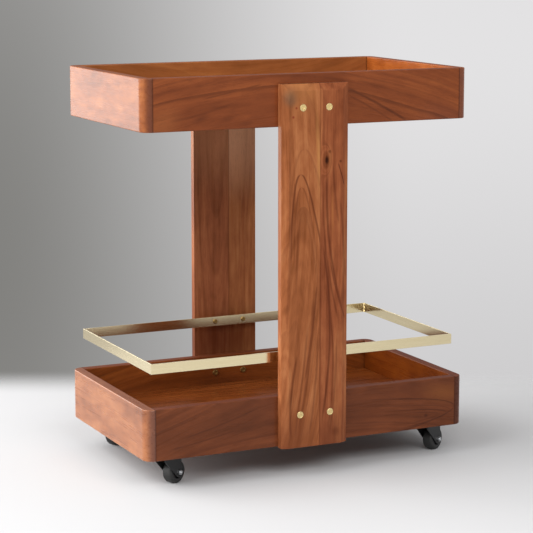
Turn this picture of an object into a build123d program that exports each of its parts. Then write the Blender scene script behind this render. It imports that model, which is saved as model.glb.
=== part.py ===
from build123d import *
import os
from math import cos, radians, sin, tan

# Rolling storage cart: two wooden trays hung between a front and a rear post, a brass rail
# round the lower tray and four swivel casters. Millimetres, +Z up, +X along the cart,
# -Y is the front. The origin is on the floor under the middle of the cart.

# trays
tray_length = 762.0  # outside, along X
tray_depth = 445.0  # outside, along Y
tray_height = 110.0
board = 22.0  # thickness of the tray boards
corner_round = board  # the end boards finish in a full quarter round
edge_round = 2.0  # sanded rims and lower edges
panel = 12.0  # thickness of a tray floor
tongue_step = 3.0  # floor's face above the tongue that sits in the groove
floor_gap = 0.5  # round the raised part of the floor
groove_depth = 7.0
groove_play = 0.2  # above the tongue
panel_gap = 0.6  # room for the panel to swell, at the bottom of the groove
top_floor_rise = 20.0  # floor's upper face above the tray's lower edge
lower_floor_rise = 43.0
rim_rise = 685.0  # lower tray's rim to top tray's rim

# glued corners of the trays
dowel_radius = 4.0
dowel_in_end = 12.0  # length of a dowel inside the end board
dowel_in_side = 24.0
dowel_drop = 20.0  # upper dowel below the rim
dowel_pitch = 32.0
dowel_play = 0.1

# posts
post_width = 156.0
post_thickness = 22.0
post_top_drop = 20.0  # below the top tray's rim
post_foot_drop = 2.0  # below the lower tray's lower edge
bevel_width = 15.0
bevel_depth = 6.5
post_edge_round = 1.2  # sanded edges of the outward face and its bevels
seam_offset = 10.0  # glue seam of the two staves, to the right of the middle

# tray bolts, from inside each tray through the wall into a cap nut in the post
top_bolt_spread = 61.0
lower_bolt_spread = 71.0
top_bolt_rise = 20.0  # above the tray's floor
lower_bolt_rise = 27.0
bolt_radius = 3.0
bolt_play = 0.3
bolt_length = 36.0
bolt_head_radius = 7.0
bolt_head = 2.0
bolt_head_round = 0.8
bolt_tip_gap = 0.5  # in the cap nut, past the bolt's end
hex_socket = 5.0  # across the flats
hex_socket_depth = 1.5
cap_radius = 7.5
cap_thickness = 1.6
cap_proud = 0.4
cap_socket = 4.0
cap_socket_depth = 0.9
barrel_radius = 4.3
barrel_length = 20.0
barrel_play = 0.2
thread_play = 0.05

# brass rail
rail_length = 720.0  # outside
rail_height = 22.0
rail_bar = 3.0
rail_rise = 93.0  # rail's upper edge above the lower tray's rim
rail_edge_round = 0.4
rail_weld = 2.0
rail_screw_spread = 71.0
spacer_length = 19.5  # holds the rail off the posts
spacer_radius = 6.0
insert_radius = 5.0
insert_length = 16.0
insert_cover = 1.0  # rail screws end this far before the insert's end
button_radius = 5.5
button_height = 3.0
button_socket = 4.0
button_round = 1.8

# casters
wheel_diameter = 50.0
wheel_width = 25.0
tyre_shoulder = 6.0
tyre_thickness = 6.5
tyre_rib = 1.5
hub_dish = 7.0  # depth of the hollow in each side of the hub
hub_rim = 4.0
hub_boss_radius = 8.0
hub_draft = 0.6
boss_gap = 0.4  # hub's boss to each cheek
rib_width = 12.0  # hub's rib inside the tyre
wheel_side_play = 1.0
sleeve_radius = 4.5
running_play = 0.05
trail = 28.0  # swivel axis to axle
parked_swivel = 28.0  # degrees from +X to the trailing side of each fork
caster_inset_x = 64.0  # swivel axis inside the tray's outer face
caster_inset_y = 52.0
crown_clearance = 14.0  # wheel's top to the fork's crown
fork_sheet = 2.5
fork_bend = 3.0  # inside bend radius of the fork
fork_nose = 19.0  # crown ahead of the swivel axis
fork_tail = 33.0
fork_brow = 6.5  # straight part of the fork's edge below the crown's sheet
fork_corner = 5.0
cheek_radius = 11.0  # round end of the cheek, about the axle
race_radius = 14.0
race_gap = 0.3  # running gap between fixed and turning race
race_lip = 2.8
race_chamfer = 1.2
swivel_stack = 7.0  # crown to mounting plate
kingpin_radius = 4.0
kingpin_head_radius = 6.5
kingpin_countersink = 90.0  # degrees across the cone
kingpin_foot = 2.5
plate_length = 60.0
plate_width = 50.0
plate_thickness = 2.5
plate_corner = 5.0
plate_recess = 7.0  # mounting plate above the lower tray's lower edge
plate_hole_x = 46.0  # hole to hole
plate_hole_y = 36.0
screw_radius = 2.25
screw_play = 0.1
screw_length = 20.0
screw_head_radius = 4.5
screw_head = 2.2
block_chamfer = 8.0
axle_radius = 3.0
axle_play = 0.1
nut_across_flats = 10.0
nut_height = 5.0
nut_collar = 1.6
nut_collar_step = 0.6
axle_chamfer = 0.6
axle_head = 4.0
axle_end = 1.5  # axle standing out of its nut

# heights that follow from the sizes above
axle_height = wheel_diameter / 2
crown_base = wheel_diameter + crown_clearance
crown_top = crown_base + fork_sheet
plate_base = crown_top + swivel_stack
plate_top = plate_base + plate_thickness
lower_base = plate_top - plate_recess
lower_rim = lower_base + tray_height
top_rim = lower_rim + rim_rise
top_base = top_rim - tray_height
top_floor = top_base + top_floor_rise
lower_floor = lower_base + lower_floor_rise
rail_base = lower_rim + rail_rise - rail_height
rail_middle = rail_base + rail_height / 2
post_foot = lower_base - post_foot_drop
post_length = top_rim - post_top_drop - post_foot
top_bolt_height = top_floor + top_bolt_rise
lower_bolt_height = lower_floor + lower_bolt_rise

# plan sizes that follow
inner_length = tray_length - 2 * board
inner_depth = tray_depth - 2 * board
wall_face = tray_depth / 2  # outer face of the front and back boards
wall_inside = inner_depth / 2
post_face = wall_face + post_thickness
rail_face = wall_face - spacer_length
rail_inside = rail_face - rail_bar
swivel_x = tray_length / 2 - caster_inset_x
swivel_y = tray_depth / 2 - caster_inset_y

SIDES = {"front": -1, "back": 1}
CORNERS = {
    "front_left": (-1, -1),
    "front_right": (1, -1),
    "rear_left": (-1, 1),
    "rear_right": (1, 1),
}
TRAYS = {
    "top_tray": (top_base, top_floor, top_bolt_height, top_bolt_spread),
    "lower_tray": (lower_base, lower_floor, lower_bolt_height, lower_bolt_spread),
}

os.makedirs("parts", exist_ok=True)


def keep(piece, name):
    # labels a finished piece and writes it
    piece.part.label = name
    export_step(piece.part, f"parts/{name}.step")


def keep_group(pieces, name):
    # identical small pieces share one file, as separate solids
    with BuildPart() as group:
        add(pieces)
    keep(group, name)


def facing(side, y, x=0.0, z=0.0):
    # plane at y whose normal points away from the cart's middle on that side, local y up
    return Plane(origin=(x, side * y, z), x_dir=(-side, 0, 0), z_dir=(0, side, 0))


# Trays: a ring of four boards is shaped whole, as the glued-up tray is sanded whole,
# and then cut into its boards at the glued joints.


def tray_ring(base, floor, bolt_height, bolt_spread):
    with BuildPart() as ring:
        with BuildSketch(Plane.XY.offset(base)):
            RectangleRounded(tray_length, tray_depth, corner_round)
            Rectangle(inner_length, inner_depth, mode=Mode.SUBTRACT)
        extrude(amount=tray_height)
        levels = ring.faces().filter_by(Axis.Z).sort_by(Axis.Z)
        fillet(levels[0].edges() + levels[-1].edges(), edge_round)
        with BuildSketch(Plane.XY.offset(floor - panel)):
            Rectangle(inner_length + 2 * groove_depth, inner_depth + 2 * groove_depth)
        extrude(amount=panel - tongue_step + groove_play, mode=Mode.SUBTRACT)
        with BuildSketch(Plane.XZ):
            with Locations((-bolt_spread / 2, bolt_height), (bolt_spread / 2, bolt_height)):
                Circle(bolt_radius + bolt_play)
        extrude(amount=tray_depth, both=True, mode=Mode.SUBTRACT)
        with BuildSketch(*dowel_planes(base)):
            Circle(dowel_radius + dowel_play)
        extrude(amount=dowel_in_end + dowel_in_side, mode=Mode.SUBTRACT)
    return ring.part


def dowel_planes(base):
    # two dowels in each corner, from inside the end board into the end of the side board
    planes = []
    for sx, sy in CORNERS.values():
        start = sx * (inner_length / 2 + dowel_in_end)
        for row in range(2):
            height = base + tray_height - dowel_drop - row * dowel_pitch
            middle = (start, sy * (wall_face - board / 2), height)
            planes.append(Plane(origin=middle, x_dir=(0, 1, 0), z_dir=(-sx, 0, 0)))
    return planes


def end_board(ring, side):
    with BuildPart() as piece:
        add(ring)
        joint = Plane.YZ.offset(side * inner_length / 2)
        split(bisect_by=joint, keep=Keep.TOP if side > 0 else Keep.BOTTOM)
    return piece


def side_board(ring, side):
    with BuildPart() as piece:
        add(ring)
        split(bisect_by=Plane.YZ.offset(inner_length / 2), keep=Keep.BOTTOM)
        split(bisect_by=Plane.YZ.offset(-inner_length / 2), keep=Keep.TOP)
        split(bisect_by=Plane.XZ, keep=Keep.TOP if side < 0 else Keep.BOTTOM)
    return piece


for tray, (base, floor, bolt_height, bolt_spread) in TRAYS.items():
    ring = tray_ring(base, floor, bolt_height, bolt_spread)
    keep(end_board(ring, -1), f"{tray}_left_board")
    keep(end_board(ring, 1), f"{tray}_right_board")
    for name, side in SIDES.items():
        keep(side_board(ring, side), f"{tray}_{name}_board")

    reach = 2 * (groove_depth - panel_gap)
    with BuildPart() as tray_floor:
        with BuildSketch(Plane.XY.offset(floor - panel)):
            Rectangle(inner_length + reach, inner_depth + reach)
        extrude(amount=panel - tongue_step)
        with BuildSketch(Plane.XY.offset(floor - panel)):
            Rectangle(inner_length - 2 * floor_gap, inner_depth - 2 * floor_gap)
        extrude(amount=panel)
    keep(tray_floor, f"{tray}_floor")

    with BuildPart() as dowels:
        with BuildSketch(*dowel_planes(base)):
            Circle(dowel_radius)
        extrude(amount=dowel_in_end + dowel_in_side)
    keep(dowels, f"{tray}_dowels")

# blocks in the lower tray's corners, which the casters are screwed to
with BuildPart() as blocks:
    with BuildSketch(Plane.XY.offset(plate_top)):
        with GridLocations(2 * swivel_x, 2 * swivel_y, 2, 2):
            Rectangle(2 * (caster_inset_x - board), 2 * (caster_inset_y - board))
    extrude(amount=lower_floor - panel - plate_top)
    inner_edges = [
        edge
        for edge in blocks.edges().filter_by(Axis.Z)
        if abs(edge.center().X) < swivel_x and abs(edge.center().Y) < swivel_y
    ]
    chamfer(inner_edges, block_chamfer)
    with BuildSketch(Plane.XY.offset(plate_top)):
        with GridLocations(2 * swivel_x, 2 * swivel_y, 2, 2):
            with GridLocations(plate_hole_x, plate_hole_y, 2, 2):
                Circle(screw_radius + screw_play)
    extrude(amount=screw_length - plate_thickness, mode=Mode.SUBTRACT)
keep(blocks, "caster_blocks")


# Posts: two edge-glued staves each, bevelled on the outward face along both long edges
# and the top, and drilled for the cap nuts and for the rail's threaded inserts.


def post_blank(side):
    face = facing(side, post_face)
    with BuildPart(face) as blank:
        with BuildSketch(face):
            with Locations((0, post_foot + post_length / 2)):
                Rectangle(post_width, post_length)
        extrude(amount=-post_thickness)
        outward = blank.faces().sort_by(Axis.Y)[0 if side < 0 else -1]
        bevelled = outward.edges().sort_by(Axis.Z)[1:]
        chamfer(bevelled, bevel_width, bevel_depth, reference=outward)
        sanded = blank.edges().filter_by(lambda edge: abs(edge.center().Y) > wall_face + edge_round)
        fillet(sanded, post_edge_round)
        for half, height in (
            (top_bolt_spread / 2, top_bolt_height),
            (lower_bolt_spread / 2, lower_bolt_height),
        ):
            with Locations((-half, height), (half, height)):
                CounterBoreHole(
                    barrel_radius + barrel_play,
                    cap_radius + barrel_play,
                    cap_thickness - cap_proud,
                )
        with BuildSketch(face.offset(-post_thickness)):
            half = rail_screw_spread / 2
            with Locations((-half, rail_middle), (half, rail_middle)):
                Circle(insert_radius + thread_play)
        extrude(amount=insert_length, mode=Mode.SUBTRACT)
    return blank.part


for name, side in (("front_post", -1), ("rear_post", 1)):
    blank = post_blank(side)
    seam = Plane.YZ.offset(seam_offset)
    for stave, part_kept in (("wide_stave", Keep.BOTTOM), ("narrow_stave", Keep.TOP)):
        with BuildPart() as half_post:
            add(blank)
            split(bisect_by=seam, keep=part_kept)
        keep(half_post, f"{name}_{stave}")


# Fasteners. A head lies on its plane, on the side of the normal, and the shank goes the
# other way.


def socket_bolt(at, head_radius, head_height, length, socket, crown):
    with BuildPart() as bolt:
        with BuildSketch(at):
            Circle(head_radius)
        extrude(amount=head_height)
        rim = bolt.edges().filter_by(GeomType.CIRCLE).sort_by(Axis(at.origin, at.z_dir))[-1]
        fillet(rim, crown)
        with BuildSketch(at):
            Circle(bolt_radius)
        extrude(amount=-length)
        with BuildSketch(at.offset(head_height - hex_socket_depth)):
            RegularPolygon(socket / 2, 6, major_radius=False)
        extrude(amount=hex_socket_depth, mode=Mode.SUBTRACT)
    return bolt.part


def cap_nut(at):
    # plane on the bottom of the cap's recess, normal outwards
    with BuildPart() as nut:
        with BuildSketch(at):
            Circle(cap_radius)
        extrude(amount=cap_thickness)
        rim = nut.edges().filter_by(GeomType.CIRCLE).sort_by(Axis(at.origin, at.z_dir))[-1]
        fillet(rim, cap_proud)
        with BuildSketch(at.offset(cap_thickness - cap_socket_depth)):
            RegularPolygon(cap_socket / 2, 6, major_radius=False)
        extrude(amount=cap_socket_depth, mode=Mode.SUBTRACT)
        with BuildSketch(at):
            Circle(barrel_radius)
        extrude(amount=-barrel_length)
        with BuildSketch(at.offset(-barrel_length)):
            Circle(bolt_radius + thread_play)
        extrude(amount=bolt_hold, mode=Mode.SUBTRACT)
    return nut.part


cap_seat = post_face - cap_thickness + cap_proud
bolt_end = wall_inside + bolt_length
bolt_hold = bolt_end - (cap_seat - barrel_length) + bolt_tip_gap

bolts = []
caps = []
for tray, (base, floor, bolt_height, bolt_spread) in TRAYS.items():
    for side in SIDES.values():
        for x in (-bolt_spread / 2, bolt_spread / 2):
            inside = facing(side, wall_inside, x, bolt_height)
            inside = Plane(inside.origin, x_dir=inside.x_dir, z_dir=-inside.z_dir)
            bolts.append(
                socket_bolt(inside, bolt_head_radius, bolt_head, bolt_length, hex_socket, bolt_head_round)
            )
            caps.append(cap_nut(facing(side, cap_seat, x, bolt_height)))
keep_group(bolts, "tray_bolts")
keep_group(caps, "cap_nuts")

# Rail: four lengths of flat bar, mitred and welded at the corners


def rail_side(points, along):
    with BuildPart() as bar:
        with BuildSketch(Plane.XY.offset(rail_base)):
            Polygon(*points, align=None)
        extrude(amount=rail_height)
        fillet(bar.edges().filter_by(along), rail_edge_round)
        if along == Axis.X:
            with BuildSketch(Plane.XZ):
                half = rail_screw_spread / 2
                with Locations((-half, rail_middle), (half, rail_middle)):
                    Circle(bolt_radius + bolt_play)
            extrude(amount=tray_depth, both=True, mode=Mode.SUBTRACT)
    return bar


far_x = rail_length / 2
near_x = far_x - rail_bar
for name, side in SIDES.items():
    outer, inner = side * rail_face, side * rail_inside
    corners = [(-far_x, outer), (far_x, outer), (near_x, inner), (-near_x, inner)]
    keep(rail_side(corners, Axis.X), f"rail_{name}_bar")
for name, side in (("left", -1), ("right", 1)):
    outer, inner = side * far_x, side * near_x
    corners = [(outer, -rail_face), (outer, rail_face), (inner, rail_inside), (inner, -rail_inside)]
    keep(rail_side(corners, Axis.Y), f"rail_{name}_bar")

# hollow weld beads in the rail's inside corners
with BuildPart() as welds:
    with BuildSketch(Plane.XY.offset(rail_base + rail_edge_round)):
        with GridLocations(2 * near_x - rail_weld, 2 * rail_inside - rail_weld, 2, 2):
            Rectangle(rail_weld, rail_weld)
        hollow_x = 2 * (near_x - rail_weld)
        hollow_y = 2 * (rail_inside - rail_weld)
        with GridLocations(hollow_x, hollow_y, 2, 2):
            Circle(rail_weld, mode=Mode.SUBTRACT)
    extrude(amount=rail_height - 2 * rail_edge_round)
keep(welds, "rail_corner_welds")

rail_screws = []
spacers = []
inserts = []
rail_screw_length = rail_bar + spacer_length + insert_length - insert_cover
for side in SIDES.values():
    for x in (-rail_screw_spread / 2, rail_screw_spread / 2):
        inside = facing(side, rail_inside, x, rail_middle)
        inside = Plane(inside.origin, x_dir=inside.x_dir, z_dir=-inside.z_dir)
        rail_screws.append(
            socket_bolt(inside, button_radius, button_height, rail_screw_length, button_socket, button_round)
        )
        with BuildPart() as spacer:
            with BuildSketch(facing(side, rail_face, x, rail_middle)):
                Circle(spacer_radius)
                Circle(bolt_radius + bolt_play, mode=Mode.SUBTRACT)
            extrude(amount=spacer_length)
        spacers.append(spacer.part)
        with BuildPart() as insert:
            with BuildSketch(facing(side, wall_face, x, rail_middle)):
                Circle(insert_radius)
                Circle(bolt_radius + thread_play, mode=Mode.SUBTRACT)
            extrude(amount=insert_length)
        inserts.append(insert.part)
keep_group(rail_screws, "rail_screws")
keep_group(spacers, "rail_spacers")
keep_group(inserts, "post_inserts")


# Casters. Each is drawn on its own plane: origin on the floor under the swivel axis,
# local x towards the trailing side, local z up.


def caster_plane(sx, sy):
    trailing = (cos(radians(parked_swivel)), sin(radians(parked_swivel)), 0)
    return Plane(origin=(sx * swivel_x, sy * swivel_y, 0), x_dir=trailing, z_dir=(0, 0, 1))


def upright(at):
    # through the middle of the wheel: local x trailing, local y up, normal along the axle
    return Plane(origin=at.origin, x_dir=at.x_dir, z_dir=-at.y_dir)


def axle_origin(at):
    return at.origin + at.x_dir * trail + at.z_dir * axle_height


fork_inside = wheel_width / 2 + wheel_side_play
fork_outside = fork_inside + fork_sheet


def make_fork(at):
    length = fork_nose + fork_tail
    middle = (fork_tail - fork_nose) / 2
    depth = 2 * crown_top  # the channel's rounded bottom falls below the cheeks and is cut off
    across = Plane(
        origin=at.origin - at.x_dir * fork_nose, x_dir=at.y_dir, z_dir=at.x_dir
    )
    with BuildPart() as fork:
        with BuildSketch(across):
            with Locations((0, crown_top - depth / 2)):
                RectangleRounded(2 * fork_outside, depth, fork_bend + fork_sheet)
            with Locations((0, crown_base - depth / 2)):
                RectangleRounded(2 * fork_inside, depth, fork_bend, mode=Mode.SUBTRACT)
        extrude(amount=length + cheek_radius)
        with BuildSketch(upright(at)):
            with Locations((trail, axle_height)):
                Circle(cheek_radius)
            brow = fork_sheet + fork_brow
            with Locations((middle, crown_top - brow / 2)):
                Rectangle(length, brow)
            make_hull()
        extrude(amount=2 * fork_outside, both=True, mode=Mode.INTERSECT)
        with BuildSketch(at):
            tail = trail + cheek_radius
            with Locations(((tail - fork_nose) / 2, 0)):
                RectangleRounded(tail + fork_nose, 2 * fork_outside, fork_corner)
        extrude(amount=crown_top, mode=Mode.INTERSECT)
        with BuildSketch(at.offset(crown_base)):
            Circle(race_radius)
        extrude(amount=fork_sheet + race_lip)
        with BuildSketch(at.offset(crown_base)):
            Circle(kingpin_radius + running_play)
        extrude(amount=fork_sheet + race_lip, mode=Mode.SUBTRACT)
        with BuildSketch(upright(at)):
            with Locations((trail, axle_height)):
                Circle(axle_radius + axle_play)
        extrude(amount=2 * fork_outside, both=True, mode=Mode.SUBTRACT)
    return fork


def make_plate(sx, sy):
    # mounting plate, square to the tray, with a countersunk hole for the kingpin
    place = Plane(origin=(sx * swivel_x, sy * swivel_y, plate_base))
    with BuildPart(place) as plate:
        with BuildSketch(place):
            RectangleRounded(plate_length, plate_width, plate_corner)
            with GridLocations(plate_hole_x, plate_hole_y, 2, 2):
                Circle(screw_radius + bolt_play, mode=Mode.SUBTRACT)
        extrude(amount=plate_thickness)
        with Locations((0, 0, plate_thickness)):
            CounterSinkHole(
                kingpin_radius + thread_play,
                kingpin_head_radius + thread_play,
                counter_sink_angle=kingpin_countersink,
            )
    return plate


def make_screw(at):
    # pan head under the plate, shank up into the block
    with BuildPart() as screw:
        with BuildSketch(at):
            Circle(screw_head_radius)
        extrude(amount=-screw_head)
        rim = screw.edges().filter_by(GeomType.CIRCLE).sort_by(Axis.Z)[0]
        fillet(rim, screw_head / 2)
        with BuildSketch(at):
            Circle(screw_radius)
        extrude(amount=screw_length)
    return screw.part


def make_kingpin(at):
    # countersunk head flush with the plate, shank through the race, swaged foot
    foot_top = crown_base - race_gap
    foot_base = foot_top - kingpin_foot
    cone = (kingpin_head_radius - kingpin_radius) / tan(radians(kingpin_countersink / 2))
    profile = [
        (0, foot_base),
        (kingpin_head_radius, foot_base),
        (kingpin_head_radius, foot_top),
        (kingpin_radius, foot_top),
        (kingpin_radius, plate_top - cone),
        (kingpin_head_radius, plate_top),
        (0, plate_top),
    ]
    with BuildPart() as pin:
        with BuildSketch(upright(at)):
            Polygon(*profile, align=None)
        revolve(axis=Axis(at.origin, at.z_dir))
    return pin.part


def make_race(at):
    # fixed half of the swivel bearing, pressed against the plate
    low = crown_top + race_lip + race_gap
    with BuildPart() as race:
        with BuildSketch(at.offset(low)):
            Circle(race_radius)
            Circle(kingpin_radius + thread_play, mode=Mode.SUBTRACT)
        extrude(amount=plate_base - low)
        outside = race.edges().filter_by(GeomType.CIRCLE).sort_by(SortBy.RADIUS)[-2:]
        chamfer(outside.sort_by(Axis.Z)[0], race_chamfer)
    return race.part


def make_tyre(at):
    bed = axle_height - tyre_thickness
    along = -at.y_dir
    with BuildPart() as tyre:
        with BuildSketch(Plane(axle_origin(at), x_dir=along, z_dir=-at.x_dir)) as section:
            with Locations((0, (axle_height + bed) / 2)):
                Rectangle(wheel_width, tyre_thickness)
            fillet(section.vertices().group_by(Axis.Y)[-1], tyre_shoulder)
            with Locations((0, bed)):
                Rectangle(rib_width, 2 * tyre_rib, mode=Mode.SUBTRACT)
        revolve(axis=Axis(axle_origin(at), along))
    return tyre


def make_hub(at):
    # rim with a rib that locks into the tyre, thin web, boss that runs on the axle sleeve
    seat = axle_height - tyre_thickness - running_play
    rim_half = wheel_width / 2
    rib_half = rib_width / 2 - running_play
    boss_half = fork_inside - boss_gap
    web_half = rim_half - hub_dish
    half_profile = [
        (-boss_half, sleeve_radius + running_play),
        (-boss_half, hub_boss_radius),
        (-web_half, hub_boss_radius + hub_draft),
        (-web_half, seat - hub_rim - hub_draft),
        (-rim_half, seat - hub_rim),
        (-rim_half, seat),
        (-rib_half, seat),
        (-rib_half, seat + tyre_rib),
    ]
    along = -at.y_dir
    with BuildPart() as hub:
        with BuildSketch(Plane(axle_origin(at), x_dir=along, z_dir=-at.x_dir)):
            Polygon(*half_profile, *((-x, r) for x, r in reversed(half_profile)), align=None)
        revolve(axis=Axis(axle_origin(at), along))
    return hub


def make_axle(at):
    # hexagon head on the inward side of the fork, thread end through the nut
    side = upright(at)
    reach = 2 * fork_outside + nut_height + axle_end
    with BuildPart() as axle:
        with BuildSketch(side.offset(-fork_outside)):
            with Locations((trail, axle_height)):
                RegularPolygon(nut_across_flats / 2, 6, major_radius=False)
        extrude(amount=-axle_head)
        with BuildSketch(side.offset(-fork_outside)):
            with Locations((trail, axle_height)):
                Circle(axle_radius)
        extrude(amount=reach)
        far_end = axle.faces().sort_by(Axis(at.origin, side.z_dir))[-1]
        chamfer(far_end.edges(), axle_chamfer)
    return axle


def make_nut(at):
    # locking nut: a hexagon below, a round collar above
    with BuildPart() as nut:
        with BuildSketch(upright(at).offset(fork_outside)):
            with Locations((trail, axle_height)):
                RegularPolygon(nut_across_flats / 2, 6, major_radius=False)
        extrude(amount=nut_height - nut_collar)
        with BuildSketch(upright(at).offset(fork_outside)):
            with Locations((trail, axle_height)):
                Circle(nut_across_flats / 2 - nut_collar_step)
        extrude(amount=nut_height)
        with BuildSketch(upright(at).offset(fork_outside)):
            with Locations((trail, axle_height)):
                Circle(axle_radius + thread_play)
        extrude(amount=nut_height, mode=Mode.SUBTRACT)
    return nut


def make_sleeve(at):
    # steel tube clamped between the cheeks, which the hub turns on
    with BuildPart() as sleeve:
        with BuildSketch(upright(at)):
            with Locations((trail, axle_height)):
                Circle(sleeve_radius)
                Circle(axle_radius + axle_play, mode=Mode.SUBTRACT)
        extrude(amount=fork_inside, both=True)
    return sleeve


kingpins = []
races = []
screws = []
for corner, (sx, sy) in CORNERS.items():
    at = caster_plane(sx, sy)
    keep(make_plate(sx, sy), f"{corner}_caster_plate")
    keep(make_fork(at), f"{corner}_fork")
    keep(make_axle(at), f"{corner}_axle")
    keep(make_nut(at), f"{corner}_axle_nut")
    keep(make_sleeve(at), f"{corner}_axle_sleeve")
    keep(make_hub(at), f"{corner}_wheel_hub")
    keep(make_tyre(at), f"{corner}_tyre")
    kingpins.append(make_kingpin(at))
    races.append(make_race(at))
    for hole_x in (-plate_hole_x / 2, plate_hole_x / 2):
        for hole_y in (-plate_hole_y / 2, plate_hole_y / 2):
            place = (sx * swivel_x + hole_x, sy * swivel_y + hole_y, plate_base)
            screws.append(make_screw(Plane(origin=place)))
keep_group(kingpins, "kingpins")
keep_group(races, "swivel_races")
keep_group(screws, "plate_screws")
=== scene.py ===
from math import cos, pi, radians, sin

import bmesh
import bpy
from mathutils import Euler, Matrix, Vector


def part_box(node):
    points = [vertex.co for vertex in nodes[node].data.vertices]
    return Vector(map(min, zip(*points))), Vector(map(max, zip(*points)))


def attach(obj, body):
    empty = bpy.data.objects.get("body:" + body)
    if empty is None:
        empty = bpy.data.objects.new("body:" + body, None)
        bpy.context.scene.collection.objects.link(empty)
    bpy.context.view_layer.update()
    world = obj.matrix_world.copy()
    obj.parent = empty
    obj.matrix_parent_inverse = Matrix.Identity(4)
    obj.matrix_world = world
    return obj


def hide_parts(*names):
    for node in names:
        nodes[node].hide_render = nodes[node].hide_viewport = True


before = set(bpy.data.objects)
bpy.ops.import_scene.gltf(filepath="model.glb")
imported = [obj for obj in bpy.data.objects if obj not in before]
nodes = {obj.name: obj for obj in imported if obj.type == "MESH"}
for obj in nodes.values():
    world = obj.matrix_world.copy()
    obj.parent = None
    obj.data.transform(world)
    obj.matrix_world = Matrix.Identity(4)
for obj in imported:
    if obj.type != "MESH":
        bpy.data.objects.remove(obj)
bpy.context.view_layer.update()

scene = bpy.context.scene
scene.view_settings.view_transform = "Standard"

# Rolling storage cart, lacquered acacia with a brass rail. Metres, +Z up, the front looks along -Y.


# Small helpers

mixA, mixB, mixResult = 6, 7, 2  # a Mix node's colour sockets share their names with its other ones


def hexColour(code):  # sRGB hex to linear
    channels = [int(code[i:i + 2], 16) / 255 for i in (1, 3, 5)]
    linear = [c / 12.92 if c <= 0.04045 else ((c + 0.055) / 1.055) ** 2.4 for c in channels]
    return (*linear, 1.0)


def addNode(tree, kind, settings=None, links=None):  # one node, its settings and what feeds it
    node = tree.nodes.new(kind)
    for name, value in (settings or {}).items():
        if isinstance(name, int) or name in node.inputs:
            node.inputs[name].default_value = value
        else:
            setattr(node, name, value)
    for name, source in (links or {}).items():
        if isinstance(source, bpy.types.Node):
            source = source.outputs[0]
        tree.links.new(source, node.inputs[name])
    return node


def span(side, ends):  # the two ends of a Map Range node's From or To side
    return {side + " Min": ends[0], side + " Max": ends[1]}


def newMaterial(name):
    material = bpy.data.materials.new(name)
    material.use_nodes = True
    material.node_tree.nodes.clear()
    return material, material.node_tree


def finishWith(material, *names):  # a CAD node keeps its shape and takes a finish
    for name in names:
        for slot in nodes[name].material_slots:
            slot.material = material


# Camera, solved from the edges of the trays, posts and rail in the photograph

photoCamera = {
    "lens": 130.8,  # mm
    "sensor": 36,  # mm
    "azimuth": 25.49,  # degrees, the camera stands to the left of the front
    "pitch": 9.05,  # degrees, looking down
    "distance": 4.305,
    "target": (0.0012, 0.0, 0.479),
    "shiftUp": -0.05,  # the photograph is cropped low from an almost level view
}


def levelDirections(azimuth):  # the photograph's depth and right directions on the floor
    angle = radians(azimuth)
    return Vector((sin(angle), cos(angle), 0)), Vector((cos(angle), -sin(angle), 0))


depthWay, rightWay = levelDirections(photoCamera["azimuth"])


def placeCamera(cam):
    pitch = radians(cam["pitch"])
    forward = depthWay * cos(pitch) - Vector((0, 0, sin(pitch)))
    data = bpy.data.cameras.new("photoCamera")
    data.lens = cam["lens"]
    data.sensor_width = cam["sensor"]
    data.shift_y = cam["shiftUp"]
    camera = bpy.data.objects.new("photoCamera", data)
    camera.location = Vector(cam["target"]) - forward * cam["distance"]
    camera.rotation_euler = forward.to_track_quat("-Z", "Y").to_euler()
    scene.collection.objects.link(camera)
    scene.camera = camera


placeCamera(photoCamera)
print("camera placed")


# Studio: a pale floor that fades into a grey sweep, darker on the photograph's left. Directions of the
# backdrop are given as parts of a unit vector, and its heights too.

studio = {
    "floorRadius": 3.2,
    "floorSides": 96,
    "floorFade": (2.2, 3.1),  # the floor blends into the backdrop between these radii
    "sweepFade": (0.52, 0.80),  # and between these depths behind the cart
    "floorColour": "#cacacb",
    "ambient": (0.20, 0.65),  # up to the horizon and straight overhead, like a wide overhead diffuser
    "backdropLight": "#e3e2e3",
    "backdropLow": "#cdcccd",  # the light side turns greyer towards the floor
    "lowFade": (-0.05, -0.26),
    "backdropDark": "#807f7c",
    "darkAside": 0.15,  # the dark side's middle stands this far to the left, just under the horizon
    "darkBelow": 0.20,
    "darkSquash": (1, 1, 0.3),  # it is far wider in height than across
    "darkReach": 0.230,
    "studioFront": "#f6f4f0",  # white walls behind the photographer, which the brass mirrors
    "frontFade": (-0.1, 0.4),
}


def makeFloor(look):
    mesh = bpy.data.meshes.new("floor")
    sides = look["floorSides"]
    rim = []
    for i in range(sides):
        angle = 2 * pi * i / sides
        rim.append((look["floorRadius"] * cos(angle), look["floorRadius"] * sin(angle), 0))
    wedges = [(0, 1 + i, 1 + (i + 1) % sides) for i in range(sides)]
    mesh.from_pydata([(0, 0, 0), *rim], [], wedges)
    floor = bpy.data.objects.new("floor", mesh)
    scene.collection.objects.link(floor)
    mesh.materials.append(paperFloor(look))


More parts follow.
